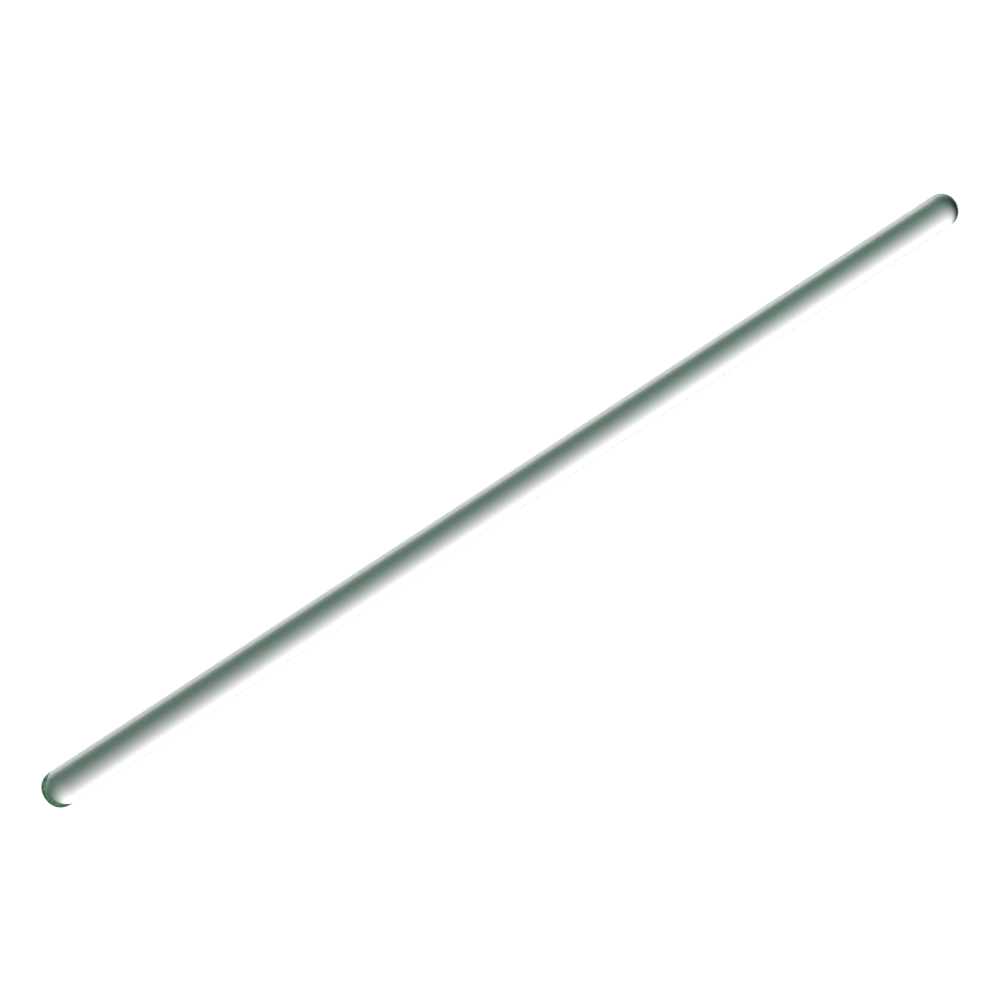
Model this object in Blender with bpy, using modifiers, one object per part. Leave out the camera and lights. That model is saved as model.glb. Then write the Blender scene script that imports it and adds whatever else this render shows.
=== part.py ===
"""A solid glass stirring rod: a straight drawn shank with a fire-polished dome at each end.

Metres, +Z up. The rod lies along X. The origin is under its middle, on the surface that it lies on.
"""
import math

import bpy

NAME = "glass_stirring_rod"

LENGTH = 0.200          # from tip to tip, along X
DIAMETER = 0.006        # of the shank, measured across its facets
DOME_HEIGHT = 0.003     # how far each dome stands out from the end of the shank

SIDES = 24              # facets around the rod, one of which faces straight down
DOME_RINGS = 8          # rows of facets from a dome's tip to its shoulder
MERGE_DISTANCE = 0.00001

GLASS_COLOUR = (0.70, 0.86, 0.78, 1.0)
GLASS_ROUGHNESS = 0.02
GLASS_IOR = 1.52

SHANK_HALF_LENGTH = LENGTH / 2 - DOME_HEIGHT
RADIUS = DIAMETER / 2
CORNER_RADIUS = RADIUS / math.cos(math.pi / SIDES)


def clear_scene():
    """Remove the objects that a new file starts with."""
    for old in list(bpy.data.objects):
        bpy.data.objects.remove(old, do_unlink=True)


def new_collection(name):
    """A collection of that name, linked to the scene."""
    collection = bpy.data.collections.new(name)
    bpy.context.scene.collection.children.link(collection)
    return collection


def glass_material():
    """Pale green soda-lime glass, clear all the way through."""
    material = bpy.data.materials.new("pale_green_glass")
    material.use_nodes = True
    shader = material.node_tree.nodes["Principled BSDF"]
    shader.inputs["Base Color"].default_value = GLASS_COLOUR
    shader.inputs["Metallic"].default_value = 0.0
    shader.inputs["Roughness"].default_value = GLASS_ROUGHNESS
    shader.inputs["IOR"].default_value = GLASS_IOR
    shader.inputs["Transmission Weight"].default_value = 1.0
    return material


def dome_outline(end):
    """One dome's outline as (x, radius), from tip to shoulder. end is 1 towards +X, -1 towards -X."""
    outline = []
    for ring in range(DOME_RINGS + 1):
        angle = math.pi / 2 * ring / DOME_RINGS
        x = end * (SHANK_HALF_LENGTH + DOME_HEIGHT * math.cos(angle))
        outline.append((x, CORNER_RADIUS * math.sin(angle)))
    return outline


def rod_outline():
    """The whole outline, from the tip at +X to the tip at -X. The shank is its one long straight side."""
    return dome_outline(1) + dome_outline(-1)[::-1]


def turned_piece(name, outline, material, collection):
    """A solid of revolution about its own X axis, turned from an outline of (x, radius) points."""
    points = [(x, radius, 0) for x, radius in outline]
    edges = [(i, i + 1) for i in range(len(points) - 1)]
    mesh = bpy.data.meshes.new(name)
    mesh.from_pydata(points, edges, [])
    mesh.materials.append(material)
    piece = bpy.data.objects.new(name, mesh)
    collection.objects.link(piece)
    screw = piece.modifiers.new("turn", "SCREW")
    screw.axis = "X"
    screw.angle = 2 * math.pi
    screw.steps = SIDES
    screw.render_steps = SIDES
    screw.use_merge_vertices = True
    screw.merge_threshold = MERGE_DISTANCE
    screw.use_smooth_shade = True
    return piece


def build():
    """Make the rod and lay it on its lowest facet."""
    clear_scene()
    collection = new_collection(NAME)
    rod = turned_piece("glass_rod", rod_outline(), glass_material(), collection)
    half_facet = math.pi / SIDES
    rod.rotation_euler = (half_facet, 0, 0)
    rod.location = (0, 0, RADIUS)


build()
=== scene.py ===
"""Looks of the glass stirring rod: a fine surface, clear pale green glass, a white table, soft light."""
import math

import bmesh
import bpy
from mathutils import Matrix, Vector


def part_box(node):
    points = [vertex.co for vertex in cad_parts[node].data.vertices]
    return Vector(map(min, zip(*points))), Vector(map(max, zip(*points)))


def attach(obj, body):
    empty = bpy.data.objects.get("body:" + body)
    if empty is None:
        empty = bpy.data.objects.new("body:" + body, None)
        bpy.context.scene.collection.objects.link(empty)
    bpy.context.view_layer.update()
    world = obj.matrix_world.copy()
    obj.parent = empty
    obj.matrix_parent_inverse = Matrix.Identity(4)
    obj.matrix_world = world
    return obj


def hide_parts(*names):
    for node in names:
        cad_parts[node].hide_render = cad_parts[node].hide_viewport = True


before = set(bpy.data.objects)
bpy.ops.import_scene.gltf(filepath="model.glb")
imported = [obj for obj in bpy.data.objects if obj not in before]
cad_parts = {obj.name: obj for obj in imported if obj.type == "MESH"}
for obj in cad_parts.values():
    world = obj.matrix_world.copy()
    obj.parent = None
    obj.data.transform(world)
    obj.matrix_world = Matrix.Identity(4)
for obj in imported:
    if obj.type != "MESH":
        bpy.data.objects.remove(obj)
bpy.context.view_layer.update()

# Sizes from the frame, in metres. The rod lies along X.
LOW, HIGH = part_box("glass_rod")
CENTRE = (LOW + HIGH) / 2
RADIUS = (HIGH.z - LOW.z) / 2
HALF_LENGTH = (HIGH.x - LOW.x) / 2
DOME_HEIGHT = RADIUS
SHANK_HALF = HALF_LENGTH - DOME_HEIGHT

# Form of the drawn and fire-polished surface
DOME_POWERS = {-1: 2.3, 1: 2.1}   # of the ends at -X and +X; 2 is a half-sphere, more has fuller shoulders
WAVES = ((0.047, 0.4, 0.000006), (0.019, 2.1, 0.000003))   # length, phase and depth of the draw's waviness
WAVE_FADE = 8                # the waviness fades out at the shank's ends; a higher power fades it later
SIDES = 192
DOME_RINGS = 48
SHANK_RINGS = 194            # one a millimetre

# Glass
GLASS_IOR = 1.52
GLASS_DENSITY = 20           # absorption per metre is density x (1 - colour)
GLASS_COLOUR = (0.74, 0.86, 0.78, 1)
SMUDGE_STRETCH = (70, 160, 160)      # each stretch is a pattern's waves per metre along X, Y and Z
SMUDGE_SPAN = (0.45, 0.75)           # of the pattern's values, from no smudge to a full one
SMUDGE_ROUGHNESS = 0.05              # of a full smudge
CORD_STRETCH = (9, 700, 700)
CORD_SPAN = (0.4, 0.7)               # from between cords to in one
CORD_COLOURS = ((0.985, 1.0, 0.99, 1), (0.93, 0.98, 0.95, 1))   # between cords and in them
DRAW_STRETCH = (12, 1500, 1500)
DRAW_DEPTH = 0.000002                # of the draw lines, in metres

# Table
TABLE_SIZE = 8
TABLE_COLOUR = (0.85, 0.85, 0.85, 1)
TABLE_ROUGHNESS = 0.9
TABLE_GLOW = 0.85
WHITE = (1, 1, 1)

# Studio. A higher power makes a narrower light. Across the soft edge of its step, from start to end along an
# axis, a light becomes that many times as bright.
BACKDROP_COLOUR = (1.0, 0.88, 0.95)
BACKDROP = dict(towards=(0.16, 0.99, 0), power=3.5, strength=1.90, step=("Z", -0.10, 0.20, 2.0))
FILL_COLOUR = (1.0, 0.97, 1.0)
FRONT_FILL = dict(towards=(0, -1, 0), power=1.0, strength=0.72, step=("X", 0.55, 0.70, 0.5))
AMBIENT_COLOUR = (0.54, 1.0, 0.77)
AMBIENT_STRENGTH = 0.16

# The black flag beside the backdrop. Along each axis it goes from clear to full between two values.
FLAG_EDGES = (("X", -0.62, -0.42), ("X", 0.70, -0.30), ("Y", -0.20, 0.65))

# Camera: 42 degrees from +Y towards +X, looking 46.5 degrees down
HEADING = math.radians(42.1)
PITCH = math.radians(46.5)
CAMERA_DISTANCE = 0.7954
AIM_ALONG_ROD = -0.0057
LENS = 175.5                 # in millimetres, as is the sensor
SENSOR_WIDTH = 36
CLIP_NEAR = 0.01
CLIP_FAR = 20

MOST_BOUNCES = 128           # of one path of light


def dome_outline(end):
    """(x, radius) of one dome from tip to shoulder. end is -1 or 1."""
    bend = 2 / DOME_POWERS[end]
    outline = []
    for ring in range(DOME_RINGS + 1):
        angle = math.pi / 2 * ring / DOME_RINGS
        x = SHANK_HALF + DOME_HEIGHT * max(math.cos(angle), 0) ** bend
        outline.append((end * x, RADIUS * math.sin(angle) ** bend))
    return outline


def shank_outline():
    """(x, radius) along the shank, whose diameter wavers inwards by a few thousandths of a millimetre."""
    outline = []
    for ring in range(1, SHANK_RINGS):
        x = SHANK_HALF * (2 * ring / SHANK_RINGS - 1)
        fade = 1 - (x / SHANK_HALF) ** WAVE_FADE
        dip = sum(depth * (1 + math.sin(2 * math.pi * x / length + phase)) for length, phase, depth in WAVES)
        outline.append((x, RADIUS - fade * dip))
    return outline


def make_rod(material):
    """The rod's fine surface: rings of vertices about X, closed by a fan at each tip."""
    outline = dome_outline(-1) + shank_outline() + dome_outline(1)[::-1]
    bm = bmesh.new()
    first_tip = bm.verts.new((outline[0][0], 0, 0))
    last_tip = bm.verts.new((outline[-1][0], 0, 0))
    turns = [2 * math.pi * side / SIDES for side in range(SIDES)]
    rings = []
    for x, radius in outline[1:-1]:
        rings.append([bm.verts.new((x, radius * math.cos(turn), radius * math.sin(turn))) for turn in turns])
    for side in range(SIDES):
        after = (side + 1) % SIDES
        bm.faces.new((first_tip, rings[0][after], rings[0][side]))
        bm.faces.new((last_tip, rings[-1][side], rings[-1][after]))
        for near, far in zip(rings, rings[1:]):
            bm.faces.new((near[side], near[after], far[after], far[side]))
    bmesh.ops.recalc_face_normals(bm, faces=bm.faces)
    mesh = bpy.data.meshes.new("rod")
    bm.to_mesh(mesh)
    bm.free()
    mesh.shade_smooth()
    mesh.materials.append(material)
    rod = bpy.data.objects.new("rod", mesh)
    rod.location = CENTRE
    bpy.context.scene.collection.objects.link(rod)
    return rod


def noise(tree, stretch, detail):
    """A noise pattern on the rod, stretch giving its waves per metre along X, Y and Z."""
    place = tree.nodes.new("ShaderNodeTexCoord")
    scale = tree.nodes.new("ShaderNodeMapping")
    scale.inputs["Scale"].default_value = stretch
    pattern = tree.nodes.new("ShaderNodeTexNoise")
    pattern.inputs["Scale"].default_value = 1
    pattern.inputs["Detail"].default_value = detail
    tree.links.new(place.outputs["Object"], scale.inputs["Vector"])
    tree.links.new(scale.outputs["Vector"], pattern.inputs["Vector"])
    return pattern.outputs["Fac"]


def remapped(tree, value, low, high, start, end):
    """value, going from low to high, turned into start to end."""
    remap = tree.nodes.new("ShaderNodeMapRange")
    remap.inputs["From Min"].default_value = low
    remap.inputs["From Max"].default_value = high
    remap.inputs["To Min"].default_value = start
    remap.inputs["To Max"].default_value = end
    tree.links.new(value, remap.inputs["Value"])
    return remap.outputs["Result"]


def glass():
    """Pale green soda-lime glass with faint draw lines, colour cords and finger smudges."""
    material = bpy.data.materials.new("pale_green_glass")
    material.use_nodes = True
    tree = material.node_tree
    shader = tree.nodes["Principled BSDF"]
    shader.inputs["IOR"].default_value = GLASS_IOR
    shader.inputs["Transmission Weight"].default_value = 1.0

    smudges = noise(tree, SMUDGE_STRETCH, detail=3)
    tree.links.new(remapped(tree, smudges, *SMUDGE_SPAN, 0, SMUDGE_ROUGHNESS), shader.inputs["Roughness"])

    cords = tree.nodes.new("ShaderNodeMix")
    cords.data_type = "RGBA"
    cords.inputs["A"].default_value = CORD_COLOURS[0]
    cords.inputs["B"].default_value = CORD_COLOURS[1]
    cord_pattern = noise(tree, CORD_STRETCH, detail=2)
    tree.links.new(remapped(tree, cord_pattern, *CORD_SPAN, 0, 1), cords.inputs["Factor"])
    tree.links.new(cords.outputs["Result"], shader.inputs["Base Color"])

    draw_lines = tree.nodes.new("ShaderNodeBump")
    draw_lines.inputs["Strength"].default_value = 1.0
    draw_lines.inputs["Distance"].default_value = DRAW_DEPTH
    tree.links.new(noise(tree, DRAW_STRETCH, detail=2), draw_lines.inputs["Height"])
    tree.links.new(draw_lines.outputs["Normal"], shader.inputs["Normal"])

    absorb = tree.nodes.new("ShaderNodeVolumeAbsorption")
    absorb.inputs["Color"].default_value = GLASS_COLOUR
    absorb.inputs["Density"].default_value = GLASS_DENSITY
    tree.links.new(absorb.outputs["Volume"], tree.nodes["Material Output"].inputs["Volume"])
    return material


def floor():
    """A wide white table, lit from within. The glass sees the studio instead of it."""
    bpy.ops.mesh.primitive_plane_add(size=TABLE_SIZE, location=(0, 0, LOW.z))
    plane = bpy.context.object
    plane.name = "floor"
    material = bpy.data.materials.new("white_table")
    material.use_nodes = True
    shader = material.node_tree.nodes["Principled BSDF"]
    shader.inputs["Base Color"].default_value = TABLE_COLOUR
    shader.inputs["Roughness"].default_value = TABLE_ROUGHNESS
    shader.inputs["Specular IOR Level"].default_value = 0.0
    shader.inputs["Emission Color"].default_value = (*WHITE, 1)
    shader.inputs["Emission Strength"].default_value = TABLE_GLOW
    plane.data.materials.append(material)
    plane.visible_transmission = False
    plane.visible_glossy = False


def feed(tree, socket, value):
    """Give a socket a plain value, or link it to an output."""
    if isinstance(value, bpy.types.NodeSocket):
        tree.links.new(value, socket)
    else:
        socket.default_value = value


def maths(tree, operation, *values):
    """The result of a maths operation on numbers or outputs."""
    node = tree.nodes.new("ShaderNodeMath")
    node.operation = operation
    for socket, value in zip(node.inputs, values):
        feed(tree, socket, value)
    return node.outputs[0]


def light(tree, colour, strength):
    """Light of one colour, whose strength is a number or an output."""
    node = tree.nodes.new("ShaderNodeBackground")
    node.inputs["Color"].default_value = (*colour, 1)
    feed(tree, node.inputs["Strength"], strength)
    return node.outputs[0]


def soft_edge(tree, ray, axis, start, end):
    """0 where a ray's share along an axis is at start, going smoothly to 1 at end."""
    split = tree.nodes.new("ShaderNodeSeparateXYZ")
    edge = tree.nodes.new("ShaderNodeMapRange")
    edge.interpolation_type = "SMOOTHSTEP"
    edge.inputs["From Min"].default_value = start
    edge.inputs["From Max"].default_value = end
    tree.links.new(ray, split.inputs[0])
    tree.links.new(split.outputs[axis], edge.inputs["Value"])
    return edge.outputs["Result"]


def soft_light(tree, ray, towards, power, strength, step):
    """How bright a soft light is along a ray: most straight towards it, none at right angles or behind."""
    dot = tree.nodes.new("ShaderNodeVectorMath")
    dot.operation = "DOT_PRODUCT"
    dot.inputs[1].default_value = Vector(towards).normalized()
    tree.links.new(ray, dot.inputs[0])
    facing = maths(tree, "MAXIMUM", dot.outputs["Value"], 0)
    glow = maths(tree, "POWER", facing, power)
    axis, start, end, times = step
    edge = soft_edge(tree, ray, axis, start, end)
    level = maths(tree, "MULTIPLY_ADD", edge, strength * (times - 1), strength)
    return maths(tree, "MULTIPLY", glow, level)


def unflagged(tree, ray):
    """1 where a ray misses the black flag and 0 where the flag stops it."""
    flagged = 1
    for axis, clear, full in FLAG_EDGES:
        flagged = maths(tree, "MULTIPLY", soft_edge(tree, ray, axis, clear, full), flagged)
    return maths(tree, "SUBTRACT", 1, flagged)


def add(tree, a, b):
    """Two lights together."""
    node = tree.nodes.new("ShaderNodeAddShader")
    tree.links.new(a, node.inputs[0])
    tree.links.new(b, node.inputs[1])
    return node.outputs[0]


def studio():
    """A bright backdrop and a black flag behind the rod, a fill in front of it, and white for the camera."""
    world = bpy.data.worlds.new("studio")
    bpy.context.scene.world = world
    world.use_nodes = True
    tree = world.node_tree
    tree.nodes.clear()
    ray = tree.nodes.new("ShaderNodeTexCoord").outputs["Generated"]
    clear = unflagged(tree, ray)

    backdrop = maths(tree, "MULTIPLY", soft_light(tree, ray, **BACKDROP), clear)
    ambient = maths(tree, "MULTIPLY", clear, AMBIENT_STRENGTH)
    behind = add(tree, light(tree, BACKDROP_COLOUR, backdrop), light(tree, AMBIENT_COLOUR, ambient))
    front = light(tree, FILL_COLOUR, soft_light(tree, ray, **FRONT_FILL))

    seen = tree.nodes.new("ShaderNodeMixShader")
    path = tree.nodes.new("ShaderNodeLightPath")
    tree.links.new(path.outputs["Is Camera Ray"], seen.inputs["Fac"])
    tree.links.new(add(tree, behind, front), seen.inputs[1])
    tree.links.new(light(tree, WHITE, 1), seen.inputs[2])
    output = tree.nodes.new("ShaderNodeOutputWorld")
    tree.links.new(seen.outputs[0], output.inputs["Surface"])


def camera():
    """The photo's view, aimed at a point a little towards -X from the rod's middle."""
    data = bpy.data.cameras.new("camera")
    data.lens = LENS
    data.sensor_width = SENSOR_WIDTH
    data.clip_start = CLIP_NEAR
    data.clip_end = CLIP_FAR
    cam = bpy.data.objects.new("camera", data)
    forward = Vector((
        math.sin(HEADING) * math.cos(PITCH),
        math.cos(HEADING) * math.cos(PITCH),
        -math.sin(PITCH),
    ))
    cam.location = CENTRE + Vector((AIM_ALONG_ROD, 0, 0)) - forward * CAMERA_DISTANCE
    cam.rotation_euler = forward.to_track_quat("-Z", "Y").to_euler()
    bpy.context.scene.collection.objects.link(cam)
    bpy.context.scene.camera = cam


def light_paths():
    """Room for light that is piped along the whole rod, which is what makes its tips green."""
    cycles = bpy.context.scene.cycles
    cycles.max_bounces = MOST_BOUNCES
    cycles.glossy_bounces = MOST_BOUNCES
    cycles.transmission_bounces = MOST_BOUNCES


rod = make_rod(glass())
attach(rod, "root")
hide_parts("glass_rod")
floor()
studio()
camera()
light_paths()
bpy.context.scene.view_settings.view_transform = "Standard"
